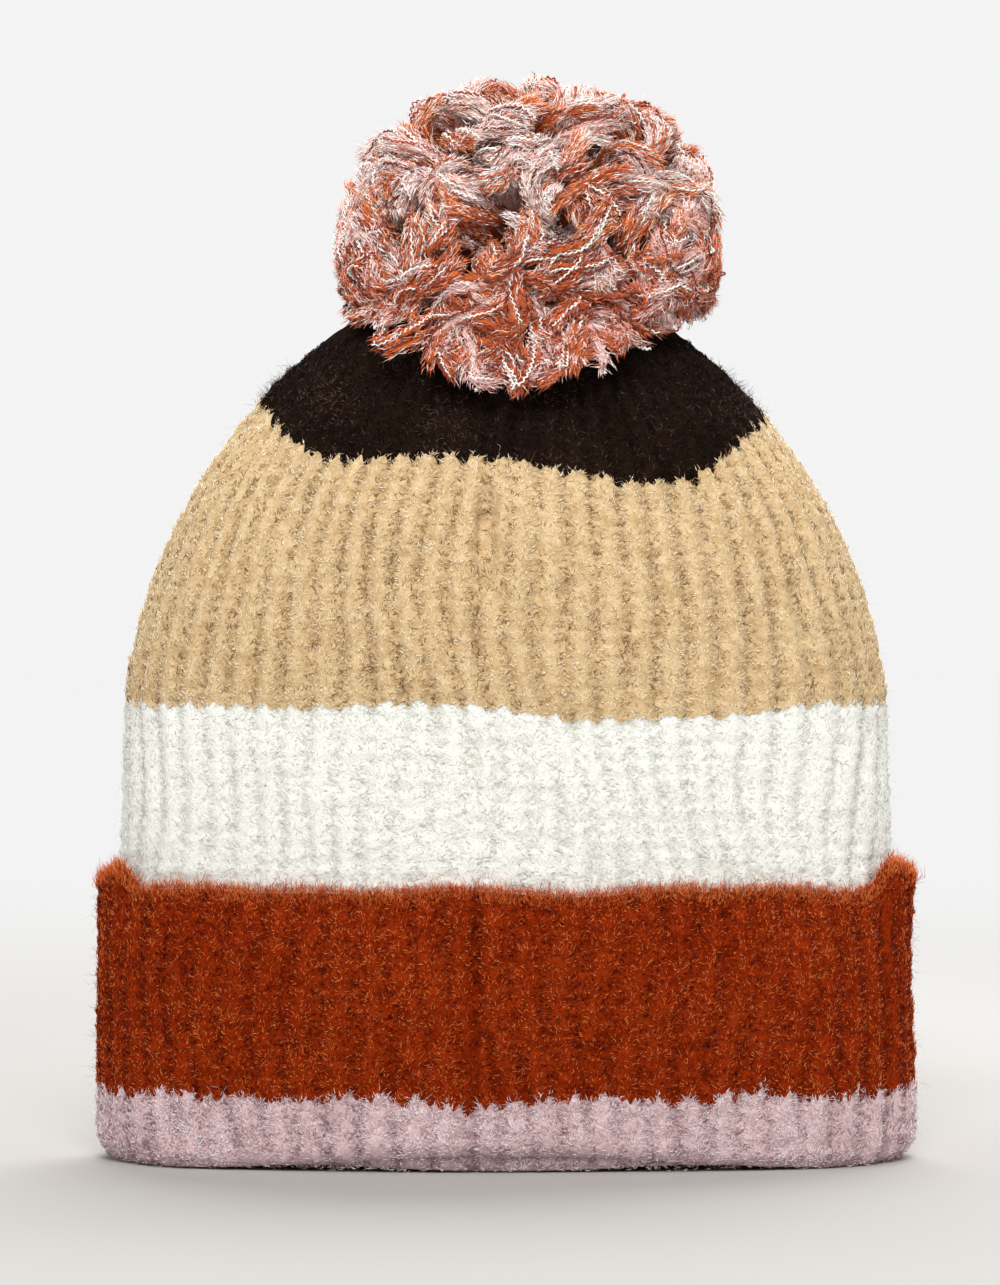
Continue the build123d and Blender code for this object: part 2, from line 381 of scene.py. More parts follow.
def knit_material(name, base, hollow_shade, light, sheen=0.25):
    """Brushed knitting: mottled fibres with painted shade, darker in the hollows of the bump, with a
    soft sheen.
    """
    mat, tree, shader, where = new_material(name)
    base, hollow_shade, light = lin(*base), lin(*hollow_shade), lin(*light)
    set_values(shader, Sheen_Weight=sheen, Sheen_Roughness=0.45, Sheen_Tint=light)
    set_values(shader, Specular_IOR_Level=min(sheen * 0.6, 0.15))
    fibre = noise(tree, where, Scale=1500.0, Detail=3.0, Roughness=0.7)
    tuft = noise(tree, where, Scale=330.0, Detail=4.0, Roughness=0.65)
    cloud = noise(tree, where, Scale=60.0, Detail=2.0)
    # Painted shade: the hollow colour falls where the fibre and tuft noise, which also raise the bump,
    # are low
    fine = mix_colour(tree, remap(tree, fibre, From_Min=0.32, From_Max=0.68), hollow_shade, light)
    broad = mix_colour(tree, remap(tree, tuft, From_Min=0.35, From_Max=0.65), hollow_shade, base)
    colour = mix_colour(tree, maths(tree, "MULTIPLY", cloud, 0.5), broad, fine)
    tree.links.new(colour, shader.inputs["Base Color"])
    tree.links.new(remap(tree, tuft, To_Min=0.8, To_Max=1.0), shader.inputs["Roughness"])
    bump = node(tree, "ShaderNodeBump", Strength=0.9, Distance=0.0007)
    tree.links.new(maths(tree, "ADD", fibre, tuft), bump.inputs["Height"])
    tree.links.new(bump.outputs[0], shader.inputs["Normal"])
    return mat


def fibre_materials(name, sheen, colours):
    """The tints of one yarn's loose fibres, with a roughness that varies along them."""
    made = []
    for i, colour in enumerate(colours):
        mat, tree, shader, where = new_material(f"{name}_{i}")
        set_values(shader, Base_Color=lin(*colour), Sheen_Weight=sheen, Sheen_Roughness=0.4)
        set_values(shader, Specular_IOR_Level=min(sheen * 0.7, 0.15))
        patches = noise(tree, where, Scale=900.0, Detail=2.0)
        rough = remap(tree, patches, To_Min=0.7, To_Max=1.0)
        tree.links.new(rough, shader.inputs["Roughness"])
        made.append(mat)
    return made


# Each yarn's plain colour, the painted shade in its hollows, its lightest colour, and its sheen if
# unusual
KNIT = {
    yarn: knit_material(f"{yarn}_knit", *look)
    for yarn, look in {
        "rust": ((150, 44, 8), (92, 12, 0), (192, 78, 24), 0.03),
        "lilac": ((241, 210, 212), (176, 144, 146), (242, 220, 222)),
        "white": ((240, 241, 234), (236, 234, 225), (252, 252, 249)),
        "tan": ((221, 194, 151), (184, 150, 102), (248, 228, 190)),
        "brown": ((30, 18, 12), (12, 6, 3), (58, 42, 34), 0.04),
        "pom_rust": ((206, 104, 54), (150, 62, 24), (236, 150, 98)),
        "pom_lilac": ((240, 204, 198), (206, 154, 146), (253, 232, 228)),
        "pom_white": ((248, 228, 220), (222, 182, 170), (255, 246, 244)),
        "tie": ((120, 52, 30), (80, 26, 12), (168, 90, 60)),
    }.items()
}
# Each yarn's sheen, and the tints of its fibres from the darkest to the lightest
TINTS = (
    ("rust", 0.04, (66, 4, 0), (112, 18, 0), (156, 44, 6), (196, 80, 24), (228, 126, 64)),
    ("lilac", 0.2, (150, 118, 122), (206, 174, 177), (238, 207, 210), (251, 229, 232), (255, 247, 249)),
    ("white", 0.2, (220, 220, 207), (230, 231, 222), (235, 236, 229), (239, 240, 235), (244, 245, 241)),
    ("tan", 0.2, (130, 95, 50), (182, 149, 102), (217, 189, 144), (240, 215, 174), (254, 239, 208)),
    ("brown", 0.03, (8, 3, 1), (18, 9, 4), (30, 18, 12), (50, 36, 29), (84, 68, 60)),
    ("pom_rust", 0.35, (164, 60, 18), (212, 92, 34), (234, 120, 56), (248, 160, 102), (254, 212, 186)),
    ("pom_lilac", 0.6, (228, 160, 150), (247, 200, 191), (255, 222, 215),
     (255, 238, 233), (255, 250, 247)),
    ("pom_white", 0.6, (247, 214, 202), (254, 234, 226), (255, 249, 245)),
    ("thread", 0.2, (136, 50, 24), (160, 66, 32), (108, 40, 24), (182, 86, 46)),
)
FIBRES = {yarn: fibre_materials(f"{yarn}_fibre", sheen, colours) for yarn, sheen, *colours in TINTS}


# ---- the knitted surface


def front(share):
    """1 on the front half of the hat and 0 on the back, fading at the ends."""
    return smooth(-np.cos(np.asarray(share) * 2 * np.pi), -0.15, 0.15)


def circle(share, radius):
    """The way round the hat laid on a circle, where noise meets itself."""
    angle = np.asarray(share) * 2 * np.pi
    return radius * np.cos(angle), radius * np.sin(angle)


def rib_phase(share, level):
    """Which rib a point lies on, counted round the hat, wandering a little with height."""
    x, y = circle(share, 60)
    return share * RIBS + 0.22 * rib_wander(x + level * 0.3, y + level)


def jagged(share):
    """Fine unevenness along an edge, where single stitches and fibres cross it."""
    return jagged_noise(*circle(share, 80))


def relief(share, level, depth, groove):
    """How far the knitted surface stands out, in millimetres: ribs, stitches and the seam."""
    phase = rib_phase(share, level)
    ridge = crest(phase) ** 0.55
    x, y = circle(share, 70)
    vary = 0.85 + 0.3 * rib_depth(x, y + level)
    side = np.abs((phase + 0.5) % 1.0 - 0.5) * 2
    stitch = np.cos(2 * np.pi * (level / STITCH_HEIGHT - 0.6 * side))
    fine = stitch_noise(phase * 3.0, level * 1.5)
    out = depth * (ridge - 1.0) * vary + depth * (0.10 + 0.16 * (1 - ridge)) * stitch + 0.14 * fine
    return out - groove * bell((share - SEAM_SHARE) * GIRTH, 0, 1.2)


def stripe_mesh(name, outer, inner, material):
    """A closed knitted shell from two grids of points that go right round the hat."""
    rows, columns, _ = outer.shape
    inner_rows, inner_columns, _ = inner.shape
    start = rows * columns
    points = np.concatenate([outer.reshape(-1, 3), inner.reshape(-1, 3)])

    def grid(first, rows, columns, flip):
        i = np.arange(rows - 1)[:, None]
        j = np.arange(columns)[None, :]
        j2 = (j + 1) % columns
        quad = [i * columns + j, (i + 1) * columns + j, (i + 1) * columns + j2, i * columns + j2]
        quad = quad[::-1] if flip else quad
        return first + np.stack(np.broadcast_arrays(*quad), -1).reshape(-1, 4)

    faces = [grid(0, rows, columns, False), grid(start, inner_rows, inner_columns, True)]
    ratio = columns // inner_columns
    j = np.arange(inner_columns)
    for out_row, in_row, at_bottom in ((0, 0, True), (rows - 1, inner_rows - 1, False)):
        ring = [out_row * columns + (j * ratio + k) % columns for k in range(ratio + 1)]
        a = start + in_row * inner_columns + j
        b = start + in_row * inner_columns + (j + 1) % inner_columns
        around = ring + [b, a] if at_bottom else ring[::-1] + [a, b]
        faces.append(np.stack(around, -1)[:, ::-1])
    return mesh_object(name, points, faces, [material])


def crown_edge(share):
    """Height of the boundary between the tan and the brown."""
    x = body_x(share, CROWN_EDGE)
    valley = 1 - crest(rib_phase(share, CROWN_EDGE))
    teeth = 0.5 - 1.3 * valley**2 * (1 + 0.5 * edge_wave(x * 2.7 + 17))
    lift = 18.0 * smooth(np.abs(x), 44.0, 90.0)
    slope = -np.clip(x / 40.0, -1, 0) - 3.5 * np.clip(x / 30.0, 0, 1) - 2.0 * bell(x, 38, 12)
    waves = teeth + 0.5 * edge_wave(x) + 0.45 * jagged(share)
    return CROWN_EDGE + slope * front(share) + lift + waves


def tan_edge(share):
    """Height of the boundary between the white and the tan."""
    x = body_x(share, TAN_EDGE)
    dip = 3.3 * bell(x, 40, 33, 4) * front(share)
    ribs = 0.5 + 0.6 * np.cos(2 * np.pi * rib_phase(share, TAN_EDGE))
    return TAN_EDGE - dip + ribs + 0.5 * edge_wave(x + 9) + 0.4 * jagged(share + 0.3)


def rust_edge(share):
    """Height of the boundary between the lilac and the rust on the cuff."""
    x = cuff_x(share)
    ridge = crest(rib_phase(share, 20.0) + 0.8 / (2 * np.pi))
    teeth = 1.3 * ridge**2 + 0.8 * jagged(share + 0.6)
    return RUST_EDGE + teeth + 0.4 * edge_wave(x * 1.7 + 40) - 1.2 * bell(x, -8, 14)


def cuff_rim(share):
    """Height of the cuff's top edge: lower at the front and back than at the ends."""
    x = cuff_x(share)
    rise = 6.0 * smooth(np.abs(x), 98.0, 104.5) - 4.0 * smooth(np.abs(x), 104.5, 110.5)
    return CUFF_TOP - 5.5 + rise + 0.5 * edge_wave(x * 1.3)


def crease_share(x, height):
    """1 at the middle of the short crease in the front of the body, and 0 away from it."""
    return bell(x, CREASE_X, 2.3) * bell(height, CREASE_Z, 13.0)


def end_crease(share, height):
    """1 in the upright crease near the right end of the cuff's front, and 0 away from it."""
    return bell(cuff_x(share), 102.3, 1.2) * front(share) * (1 - smooth(height, 70.0, 78.0))


def body_surface(share, height, depth=BODY_RELIEF):
    """The body's knitted outer surface: points and outward normals."""
    base, normal = body_point(share, height)
    fade = 1 - smooth(height, 205.0, 228.0)
    out = relief(share, height, depth * (0.35 + 0.65 * fade), 0.9)
    x = base[..., 0]
    ridge = bell(x, CREASE_X + 6.5, 4.0) * bell(height, 158.0, 22.0)
    out = out + front(share) * (2.6 * ridge - 4.2 * crease_share(x, height))
    return base + normal * out[..., None], normal


def cuff_surface(share, height):
    """The cuff's knitted outer surface, leaning in a little where it meets the body."""
    base, normal = cuff_point(share, height)
    x = base[..., 0]
    out = relief(share, height, CUFF_RELIEF, 2.2) - 2.6 * end_crease(share, height)
    lean = 1.6 * smooth(height, 58.0, 78.0) * (1 - smooth(np.abs(x), 80.0, 104.0))
    belly = 0.36 * edge_wave(x * 0.8 + height * 0.6)
    return base + normal * (out - lean + belly)[..., None], normal


def arch(share):
    """How far the bottom of the fold lifts off the table."""
    return ARCH_HEIGHT * (1 - smooth(np.abs(cuff_x(share)), 5.0, 98.0))


def fold_size(share):
    """How high the fold's roll reaches, and how far in it touches the table: more at the ends."""
    end = smooth(np.abs(cuff_x(share)), 84.0, 106.0)
    return 4.8 + 5.0 * end, FOLD_SPAN / 2 * (1 + 0.7 * end)[..., None]


def fold_surface(share, level):
    """The fold's outside: upright above, rolled under below."""
    base, normal = cuff_surface(share, level)
    radius, width = fold_size(share)
    lift = arch(share)
    turn = np.arcsin(np.clip((radius + lift - level) / radius, 0, 1))[..., None]
    under = np.arcsin(np.clip((lift - level) / np.maximum(lift, 0.3), 0, 0.98))[..., None]
    inward = width * (1 - np.cos(turn)) + (FOLD_SPAN - width) * (1 - np.cos(under))
    slant = np.where(under > 0, under * 0.6, turn)
    down = np.array([0.0, 0.0, -1.0])
    return base - normal * inward, normal * np.cos(slant) + down * np.sin(slant)


def between(low, high, rows):
    """Rows of heights from a lower to an upper edge."""
    return low + (high - low) * np.linspace(0, 1, rows)[:, None]


def body_lining(low, high, rows, ripple):
    """The inside of a band of the body, with half as many columns as its outside."""
    share, height = SHARES[:, ::2], between(low, high, rows)[:, ::2]
    base, normal = body_point(share, height)
    inward = WALL * 0.8 + ripple * np.cos(2 * np.pi * rib_phase(share, height))
    return base - normal * inward[..., None]


def body_stripe(name, low, high, material):
    """A band of the body between two rows of edge heights."""
    rows = max(6, int(round(float((high - low).mean()) / ROW_STEP)))
    outer, _ = body_surface(SHARES, between(low, high, rows + 1))
    return stripe_mesh(name, outer, body_lining(low, high, max(4, rows // 2) + 1, 0.5), material)


def drawn_in(x, y, z, shrink):
    """A ring drawn in towards the hole in the gathered crown, which it reaches at 0."""
    reach = shrink + (1 - shrink) * GATHER_RADIUS / np.hypot(x, y)
    return np.stack([x * reach, y * reach, z], -1)[None]


def crown_mesh(name, low, material):
    """The crown: from its lower edge up over the dome to the gathered middle."""
    high = CROWN_TOP - 1.5
    rows = int(round((CROWN_TOP - CROWN_EDGE) * 1.3 / ROW_STEP))
    rising = np.linspace(0, 1, rows + 1)[:, None] ** 0.9
    outer = [body_surface(SHARES, low + (high - low) * rising, CROWN_RELIEF)[0]]
    width, depth = body_size(high)
    x, y, _, _ = oval(SHARES[0], width, depth, END_ROUNDING * depth)
    pucker = 0.3 * np.cos(2 * np.pi * rib_phase(SHARES[0], CROWN_TOP))
    for k in range(1, 15):
        shrink = 1 - k / 14
        z = high + 1.2 * smooth(1 - shrink, 0, 0.35) + pucker * shrink
        outer.append(drawn_in(x, y, z, shrink))
    inner = [body_lining(low, high, rows // 2 + 1, 0.4)]
    x, y, z = inner[0][-1].T
    for k in range(1, 9):
        inner.append(drawn_in(x, y, z + (CROWN_TOP - WALL - z) * k / 8, 1 - k / 8))
    return stripe_mesh(name, np.concatenate(outer), np.concatenate(inner), material)


def rust_cuff(name, material):
    """The rust band of the cuff, with its rolled top edge."""
    low, high = rust_edge(SHARES), cuff_rim(SHARES)
    rows = int(round(55 / ROW_STEP))
    outer, normal = cuff_surface(SHARES, between(low, high - RIM_RADIUS, rows + 1))
    roll = []
    for k in range(1, 7):
        turn = k / 6 * math.pi * 0.62
        lift = np.array([0, 0, RIM_RADIUS * math.sin(turn)])
        roll.append(outer[-1] - normal[0] * RIM_RADIUS * (1 - math.cos(turn)) + lift)
    height = between(low, high - 2.5, 16)[:, ::2]
    inner, _ = cuff_point(SHARES[:, ::2], height, WALL - 0.3)
    return stripe_mesh(name, np.concatenate([outer, np.stack(roll)]), inner, material)


def lilac_fold(name, material):
    """The lilac band: up the outside, round the fold and up the inside."""
    top, lift = rust_edge(SHARES), arch(SHARES)
    radius, width = fold_size(SHARES)
    outer = [cuff_surface(SHARES, between(top, radius + lift, max(8, int(14 / ROW_STEP))))[0]]
    base, normal = cuff_surface(SHARES, radius + lift)
    turns = np.linspace(0, math.pi / 2, 9)[1:]
    for a in turns:
        p = base - normal * width * (1 - math.cos(a))
        p[..., 2] -= radius * math.sin(a)
        outer.append(p)
    lowest = outer[-1]
    flat = 1 - lift / ARCH_HEIGHT
    for a in turns:
        step = math.sin(a) * flat + (1 - math.cos(a)) * (1 - flat)
        p = lowest - normal * (FOLD_SPAN - width) * step[..., None]
        p[..., 2] += 5.0 * flat * (1 - math.cos(a)) - lift * math.sin(a) + 0.2
        outer.append(p)
    start = outer[-1]
    for k in range(1, 19):
        p = start.copy()
        p[..., 2] = start[..., 2] + (INNER_TOP - start[..., 2]) * k / 18
        outer.append(p)
    outer = np.concatenate([p.reshape(-1, COLUMNS, 3) for p in outer])[::-1]
    share = SHARES[:, ::2]
    low = 6.5 + arch(share)
    inside, _ = cuff_point(share, between(INNER_TOP, low, 12), WALL + 1.2)
    outside, _ = cuff_point(share, between(low, top[:, ::2], 12)[1:], WALL - 0.3)
    return stripe_mesh(name, outer, np.concatenate([inside, outside]), material)


# ---- loose fibre on the knitting


def fibre_pieces(name, body, roots, tips, radii, bend, slots, tints):
    """Fibres as one piece, or as several where there are very many."""
    made = []
    for ends in (roots, tips):
        ends[:, 2] = np.maximum(ends[:, 2], 0.15)
    for piece_name, own in in_parts(name, len(roots), PIECE_FIBRES):
        points, faces, each = spindles(roots[own], tips[own], radii[own], bend[own])
        piece = mesh_object(piece_name, points, faces, tints, np.repeat(slots[own], each))
        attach(piece, body)
        made.append(piece)
    return made


def scatter(rng, count, low, high):
    """Random places on a band between two heights or edge functions."""
    share = rng.random(int(count * FIBRE_SHARE))
    bottom = low(share) if callable(low) else low
    top = high(share) if callable(high) else high
    return share, bottom + (top - bottom) * rng.random(len(share))


def brush(rng, name, surface, low, high, count, lengths, tone, tints):
    """Fine fibres rooted on a knitted surface, with painted shade: darker in the hollows between ribs,
    the seam and the creases.
    """
    share, level = scatter(rng, count, low, high)
    count = len(share)
    point, normal = surface(share, level)
    around = surface(share + 2e-4, level)[0] - point
    around = unit(around - (around * normal).sum(1, keepdims=True) * normal)
    phase = rib_phase(share, level)
    slant = (0.75 * np.sin(2 * np.pi * phase) + rng.normal(0, 0.8, count))[:, None]
    flat = around * np.sin(slant) - np.cross(normal, around) * np.cos(slant)
    rise = np.radians(rng.uniform(3, 24, count))[:, None]
    size = rng.uniform(*lengths, count)[:, None]
    roots = point - normal * 0.15
    tips = roots + (flat * np.cos(rise) + normal * np.sin(rise)) * size
    bend = (rng.normal(0, 0.10, (count, 3)) + normal * 0.06) * size
    radii = rng.uniform(0.7, 1.2, count) * 0.12
    mean, ribs, stitches, clouds, chance = tone
    ridge = crest(phase)
    # Painted shade: fibres in the rib and stitch hollows, along the seam's groove and in the creases
    # take darker tints; clouds and chance add tone at random
    shade = mean + ribs * (ridge - 0.5)
    shade += stitches * (crest(level / STITCH_HEIGHT) - 0.5) * (1 - ridge)
    shade -= 0.5 * bell((share - SEAM_SHARE) * GIRTH, 0, 0.9)
    shade -= crease_share(point[:, 0], level) * front(share) + 0.8 * end_crease(share, level)
    shade += clouds * tone_noise(*point.T) + rng.normal(0, chance, count)
    slots = np.clip((shade * len(tints)).astype(int), 0, len(tints) - 1)
    return fibre_pieces(name, "hat", roots, tips, radii, bend, slots, tints)


def halo(rng, name, surface, low, high, count, tints):
    """Sparse long hairs that stand off the knitting and blur its outline."""
    share, level = scatter(rng, count, low, high)
    point, normal = surface(share, level)
    spin = unit(rng.normal(0, 1, point.shape))
    along = unit(normal * rng.uniform(0.25, 1.0, len(share))[:, None] + spin * 0.8)
    facing = (along * normal).sum(1, keepdims=True)
    along = unit(along + normal * np.clip(0.25 - facing, 0, None))
    size = rng.uniform(3.0, 6.5, len(share))[:, None]
    size = size * (0.6 + 0.4 * rng.random(len(share))[:, None])
    roots = point - normal * 0.2
    bend = rng.normal(0, 0.16, point.shape) * size
    radii = rng.uniform(0.03, 0.05, len(share))
    slots = rng.integers(len(tints) // 2, len(tints), len(share))
    return fibre_pieces(name, "hat", roots, roots + along * size, radii, bend, slots, tints)


def rim_fringe(name, tints):
    """Longer fibres that stand up from the cuff's rolled edge over the white."""
    rng = np.random.default_rng(22)
    count = int(20000 * FIBRE_SHARE)
    share = rng.random(count)
    point, normal = cuff_surface(share, cuff_rim(share) - RIM_RADIUS)
    roll = rng.uniform(-0.7, 1.9, count)
    inward = RIM_RADIUS * (1 - np.cos(roll)) * (roll > 0)
    roots = point - normal * (inward + 0.1)[:, None]
    roots[:, 2] += RIM_RADIUS * np.sin(roll)
    around = np.stack([-normal[:, 1], normal[:, 0], np.zeros(count)], -1)
    lean = rng.normal(0, 0.55, count)[:, None]
    outward = rng.normal(0.05, 0.35, count)[:, None]
    along = unit(around * lean + normal * outward + np.array([0, 0, 1.0]))
    size = (rng.uniform(1.0, 3.0, count) + 3.6 * rng.random(count) ** 6)[:, None]
    bend = rng.normal(0, 0.14, (count, 3)) * size
    radii = rng.uniform(0.06, 0.11, count)
    slots = np.clip(rng.normal(3.9, 0.9, count).astype(int), 0, len(tints) - 1)
    return fibre_pieces(name, "hat", roots, roots + along * size, radii, bend, slots, tints)


def white_seen(share):
    """Lowest height where the white shows above the cuff."""
    return cuff_rim(share) - 9.0


def below_rim(share):
    """Height up to which the cuff's short fibres grow."""
    return cuff_rim(share) - 1.0


def above_fold(share):
    """Lowest height where long hairs stand off the fold."""
    return 3.0 + arch(share)


# ---- pieces of the knitting

tan_low, crown_low = tan_edge(SHARES), crown_edge(SHARES)
white = body_stripe("white_band", np.full_like(SHARES, INNER_TOP), tan_low, KNIT["white"])
tan = body_stripe("tan_band", tan_low, crown_low, KNIT["tan"])
crown = crown_mesh("brown_crown_knit", crown_low, KNIT["brown"])
cuff = rust_cuff("rust_cuff", KNIT["rust"])
fold = lilac_fold("lilac_fold", KNIT["lilac"])

# The shortest and longest fibre
LONG, SHORT = (1.1, 2.6), (0.8, 2.1)
# Each yarn's tone: the mean shade, the painted shade that ribs and stitches add in their hollows, and
# what broad clouds and chance add to it at random
TONES = {
    "white": (0.62, 0.3, 0.4, 0.06, 0.24),
    "tan": (0.54, 0.5, 0.7, 0.06, 0.28),
    "brown": (0.40, 0.2, 0.2, 0.15, 0.25),
    "rust": (0.48, 0.28, 0.5, 0.05, 0.36),
    "lilac": (0.54, 0.3, 0.4, 0.06, 0.30),
}
loose = {}
rng = np.random.default_rng(21)
for yarn, name, *growth in (
    ("white", "white_band", body_surface, white_seen, tan_edge, 34000, LONG),
    ("tan", "tan_band", body_surface, tan_edge, crown_edge, 50000, LONG),
    ("brown", "crown", body_surface, crown_edge, 219.0, 22000, LONG),
    ("rust", "rust_cuff", cuff_surface, rust_edge, below_rim, 78000, SHORT),
    ("lilac", "lilac_fold", fold_surface, 0.4, rust_edge, 32000, LONG),
):
    loose[yarn] = brush(rng, f"{name}_fuzz", *growth, TONES[yarn], FIBRES[yarn])

for piece, cad, slot_name in (
    (white, "white_stripe", "white_yarn"),
    (tan, "tan_stripe", "tan_yarn"),
    (crown, "brown_crown", "brown_yarn"),
    (cuff, "rust_cuff_stripe", "rust_yarn"),
    (fold, "lilac_fold_stripe", "lilac_yarn"),
):
    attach(piece, "hat")
    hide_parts(cad)

for seed, yarn, name, *growth in (
    (71, "white", "white_band", body_surface, white_seen, tan_edge, 1600),
    (72, "tan", "tan_band", body_surface, tan_edge, crown_edge, 2400),
    (73, "brown", "crown", body_surface, crown_edge, 212.0, 2600),
    (74, "rust", "rust_cuff", cuff_surface, rust_edge, cuff_rim, 2400),
    (75, "lilac", "lilac_fold", fold_surface, above_fold, rust_edge, 1100),
):
    loose[yarn] += halo(np.random.default_rng(seed), f"{name}_halo", *growth, FIBRES[yarn])
loose["rust"] += rim_fringe("rust_rim_fringe", FIBRES["rust"])
for yarn, pieces in loose.items():
    for piece in pieces:
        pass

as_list(loose["rust"])
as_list(loose["lilac"])
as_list(loose["white"])
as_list(loose["tan"])
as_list(loose["brown"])

# ---- pom

POM_HALF = np.array([51.6, 48.0, 44.4])
POM_SQUARE = 2.5
LEAN_LIMIT = math.radians(10.0)
SWIVELS = [math.radians(40.0) * k / 2 for k in (-2, -1, 0, 1, 2)]
STRAND_RADIUS = 1.9
CLUMPS = 220
LOWER_CLUMPS = 130
LOWER_START = 233.5
LOWER_TOP = 238.0
LOWER_EDGE_FRONT = 208.0
LOWER_EDGE_BACK = 214.0
LOWER_EDGE_SIDE = 229.5
SKIRT_RADIUS = 50.0
KINDS = ("rust", "lilac", "white")
KIND_SHARES = (0.54, 0.33, 0.13)
# The kinds of the tufts under the ball: more rust than in the ball, which also paints shade under it
LOWER_SHARES = (0.72, 0.20, 0.08)
OWN_KIND = 0.55
BLEND_SHARE = 0.16
STRAND_POINTS = 26
T = np.linspace(0, 1, STRAND_POINTS)
CRIMP_LENGTH = 1.45
THREAD_RADIUS = 0.28
THREAD_POINTS = 96
PIECE_THREADS = 340


def dome_gap(points):
    """Signed distance from the crown's outside, and the direction away from it."""
    x, y, z = points[..., 0], points[..., 1], points[..., 2]
    a, b = body_size(z)
    r = END_ROUNDING * b
    side, big, turn = arcs(a, b, r)
    ax, ay = np.abs(x), np.abs(y)
    at_end = (ax - side) * np.cos(turn) > ay * np.sin(turn)
    cx = np.where(at_end, ax - side, ax)
    cy = np.where(at_end, ay, ay + big - b)
    reach = np.hypot(cx, cy) + 1e-9
    normal, scale = tilted(cx / reach * np.sign(x), cy / reach * np.sign(y), z)
    gap = (reach - np.where(at_end, r, big)) * scale
    over = z - CROWN_TOP - 0.8
    top = over > gap
    normal = np.where(top[..., None], np.array([0.0, 0.0, 1.0]), normal)
    return np.where(top, over, gap), normal


def rotated(points, a, b, angle):
    """Points turned from axis a towards axis b."""
    c, s = math.cos(angle), math.sin(angle)
    out = points.copy()
    out[..., a] = c * points[..., a] - s * points[..., b]
    out[..., b] = s * points[..., a] + c * points[..., b]
    return out


def turned(points, swivel, nod, sway):
    """Points of the pom at a pose of its three joints."""
    leaning = rotated(rotated(points - PIVOT, 2, 0, sway), 1, 2, nod)
    return rotated(leaning + PIVOT, 0, 1, swivel)


def least_gap(points, leans):
    """Smallest distance from the crown over the pom's swivel and the given leans."""
    least = np.full(points.shape[:-1], 1e9)
    for swivel in SWIVELS:
        for nod, sway in leans:
            least = np.minimum(least, dome_gap(turned(points, swivel, nod, sway))[0])
    return least


def clear_of_crown(points, clearance):
    """Points moved out of the room that the crown takes up over the swivel."""
    for swivel in SWIVELS * 2:
        gap, normal = dome_gap(turned(points, swivel, 0, 0))
        push = np.clip(clearance - gap, 0, 8)[..., None] * normal
        points = points + turned(push + PIVOT, -swivel, 0, 0) - PIVOT
    return points


def swept_radius(angle, height):
    """How far out the crown reaches in a direction at a height, over the whole swivel."""
    widest = np.zeros_like(height)
    for swivel in SWIVELS:
        inside, outside = np.zeros_like(height), np.full_like(height, 120.0)
        for _ in range(16):
            middle = (inside + outside) / 2
            x, y = middle * np.cos(angle + swivel), middle * np.sin(angle + swivel)
            gap, _ = dome_gap(np.stack([x, y, height], -1))
            inside = np.where(gap < 0, middle, inside)
            outside = np.where(gap < 0, outside, middle)
        widest = np.maximum(widest, outside)
    return widest


def pom_reach(direction):
    """The pom's radius in a direction: a squarish ball."""
    power = (np.abs(direction) / POM_HALF) ** POM_SQUARE
    return power.sum(-1) ** (-1 / POM_SQUARE)


def curled(heading, curl, reach, across, bend):
    """How far a strand strays in two directions as it bends over, beside its clump's middle."""
    step = np.gradient(bend**1.2) * reach
    spread = across * smooth(T, 0.0, 0.6)
    along = np.cumsum(np.cos(heading + curl) * step) - math.sin(heading) * spread
    up = np.cumsum(np.sin(heading + curl) * step) + math.cos(heading) * spread
    return along, up


def strand_paths():
    """Centre lines of the pom's strands, in clumps that bend and curl over together."""
    rng = np.random.default_rng(77)
    paths, kinds = [], []
    golden = math.pi * (3 - math.sqrt(5))
    for i in range(CLUMPS):
        height = 1 - 2 * (i + 0.5) / CLUMPS
        ring = math.sqrt(1 - height**2)
        anchor = np.array([ring * math.cos(golden * i), ring * math.sin(golden * i), height])
        anchor = unit(anchor + rng.normal(0, 0.06, 3))
        first = unit(np.cross(anchor, [0.2, 0.3, 0.93]))
        second = np.cross(anchor, first)
        heading = rng.uniform(0, 2 * math.pi)
        reach = rng.uniform(8, 21)
        curl = rng.normal(0, 1.3)
        bend_from = rng.uniform(0.25, 0.5)
        bend = np.clip((T - bend_from) / (1 - bend_from), 0, 1)
        strands = int(rng.integers(4, 7))
        base_kind = rng.choice(3, p=KIND_SHARES)
        for k in range(strands):
            across = (k - (strands - 1) / 2) * 2.4 + rng.normal(0, 0.6)
            own_curl = (curl + rng.normal(0, 0.25)) * bend
            own_reach = reach * rng.uniform(0.8, 1.15)
            own_curl = own_curl + rng.normal(0, 0.12)
            q1, q2 = curled(heading, own_curl, own_reach, across, bend)
            direction = unit(anchor * 48 + first * q1[:, None] + second * q2[:, None])
            end = rng.uniform(0.86, 0.975)
            rise = 0.17 + (end - 0.17) * (1 - (1 - T) ** rng.uniform(1.5, 2.1))
            paths.append(POM_CENTRE + direction * (pom_reach(direction) * rise)[:, None])
            kinds.append(base_kind if rng.random() < OWN_KIND else rng.choice(3, p=KIND_SHARES))
    return np.array(paths), np.array(kinds)


def ball_radius(angle, height):
    """How far out the ball reaches from its own centre in a direction at a height."""
    share = np.clip(np.abs(height - POM_CENTRE[2]) / POM_HALF[2], 0, 0.995)
    around = (np.abs(np.cos(angle)) / POM_HALF[0]) ** POM_SQUARE
    around = around + (np.abs(np.sin(angle)) / POM_HALF[1]) ** POM_SQUARE
    return (1 - share**2) ** 0.5 / around ** (1 / POM_SQUARE)


def lower_edge(angle):
    """How low the tufts under the ball reach: lower at the front and back than at the ends."""
    lowest = np.where(np.sin(angle) < 0, LOWER_EDGE_FRONT, LOWER_EDGE_BACK)
    return LOWER_EDGE_SIDE + (lowest - LOWER_EDGE_SIDE) * np.abs(np.sin(angle)) ** 2.6


